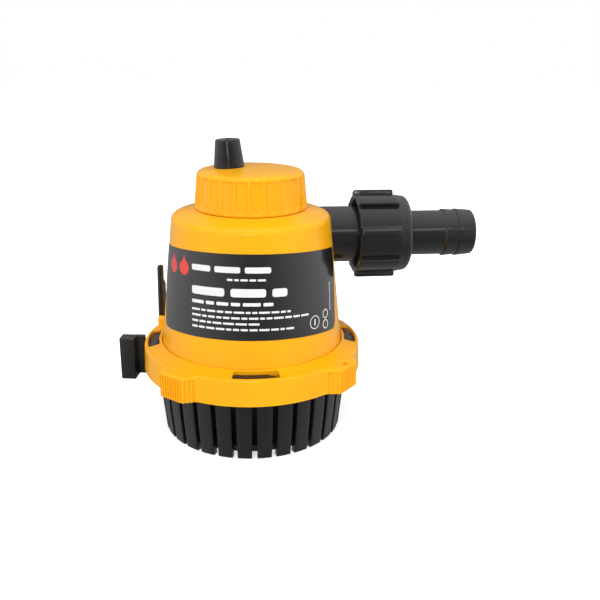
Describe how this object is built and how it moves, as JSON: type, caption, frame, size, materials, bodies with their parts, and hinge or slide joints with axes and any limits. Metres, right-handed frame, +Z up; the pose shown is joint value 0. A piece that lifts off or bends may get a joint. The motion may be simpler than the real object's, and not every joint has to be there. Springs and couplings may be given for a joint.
{
  "type": "bilge pump",
  "caption": "Submersible cartridge bilge pump: slotted strainer base, bayonet lock ring, conical body, screw-in motor cartridge, side outlet with union nut and hose barb.",
  "frame": {"origin": "pump axis at the underside of the strainer base", "axes": "+X along the outlet, +Z up along the pump and motor axis"},
  "size_m": [0.1524, 0.092, 0.1217],
  "materials": {
    "yellow_plastic": "moulded gloss",
    "black_plastic": "moulded satin",
    "label_film": "satin printed film",
    "black_rubber": "moulded",
    "case_plastic": "moulded",
    "stainless": "turned",
    "plated_steel": "zinc plated",
    "ferrite": "ground ferrite",
    "core_steel": "laminated",
    "copper_wire": "enamelled copper",
    "commutator_copper": "turned copper",
    "bronze": "sintered bronze",
    "brass_plate": "stamped",
    "carbon": "pressed carbon",
    "white_plastic": "moulded",
    "lead_brown": "cable sheath",
    "lead_black": "cable sheath"
  },
  "bodies": {
    "pump": {"strainer_base": "black_plastic", "body_shell": "yellow_plastic", "body_label": "label_film", "inlet_plate": "black_plastic", "inlet_screws": "stainless", "plate_oring": "black_rubber", "outlet_spigot": "black_plastic", "spigot_oring": "black_rubber"},
    "ring": {"lock_ring": "yellow_plastic"},
    "lever": {"lock_lever": "black_plastic"},
    "cap_seal": {"cap_oring": "black_rubber"},
    "cartridge": {"top_cap": "yellow_plastic", "cable_gland": "black_rubber", "motor_case": "case_plastic", "motor_can": "plated_steel", "motor_screws": "stainless", "magnets": "ferrite", "end_bell": "white_plastic", "lower_bearing": "bronze", "upper_bearing": "bronze", "shaft_seal": "black_rubber", "brush_tubes": "brass_plate", "brush_spring_a": "stainless", "brush_spring_b": "stainless", "terminals": "brass_plate", "positive_lead": "lead_brown", "negative_lead": "lead_black"},
    "rotor": {"shaft": "stainless", "armature_core": "core_steel", "windings": "copper_wire", "commutator": "commutator_copper", "thrust_washers": "white_plastic", "impeller": "white_plastic", "impeller_clip": "stainless"},
    "brush_pos": {"brush_a": "carbon"},
    "brush_neg": {"brush_b": "carbon"},
    "hose_tail": {"hose_barb": "black_plastic", "union_washer": "black_rubber"},
    "union": {"union_nut": "black_plastic"}
  },
  "joints": [
    {"name": "ring_turn", "type": "hinge", "parent": "pump", "child": "ring", "pos_m": [0, 0, 0.03], "axis": [0, 0, 1], "range_deg": [0, 28]},
    {"name": "lever_tip", "type": "hinge", "parent": "pump", "child": "lever", "pos_m": [-0.03952, 0.02469, 0.0215], "axis": [-0.5299, -0.848, 0], "range_deg": [0, 10]},
    {"name": "cap_rise", "type": "slide", "parent": "pump", "child": "cap_seal", "axis": [0, 0, 1], "range_m": [0, 0.006]},
    {"name": "cap_turn", "type": "hinge", "parent": "cap_seal", "child": "cartridge", "pos_m": [0, 0, 0.1], "axis": [0, 0, 1], "range_deg": [0, 720]},
    {"name": "rotor_spin", "type": "hinge", "parent": "cartridge", "child": "rotor", "pos_m": [0, 0, 0.07], "axis": [0, 0, 1], "continuous": true},
    {"name": "brush_a_lift", "type": "slide", "parent": "cartridge", "child": "brush_pos", "axis": [1, 0, 0], "range_m": [0, 0.0015], "stiffness_N_per_m": 60, "deforming": ["brush_spring_a"]},
    {"name": "brush_b_lift", "type": "slide", "parent": "cartridge", "child": "brush_neg", "axis": [-1, 0, 0], "range_m": [0, 0.0015], "stiffness_N_per_m": 60, "deforming": ["brush_spring_b"]},
    {"name": "tail_travel", "type": "slide", "parent": "pump", "child": "hose_tail", "axis": [1, 0, 0], "range_m": [0, 0.005]},
    {"name": "nut_turn", "type": "hinge", "parent": "hose_tail", "child": "union", "pos_m": [0.055, 0.0068, 0.0809], "axis": [1, 0, 0], "range_deg": [0, 720]}
  ],
  "couplings": [
    {"joint": "cap_turn", "follows": "cap_rise", "rad_per_m": 2094.4},
    {"joint": "nut_turn", "follows": "tail_travel", "rad_per_m": 2513.3}
  ]
}
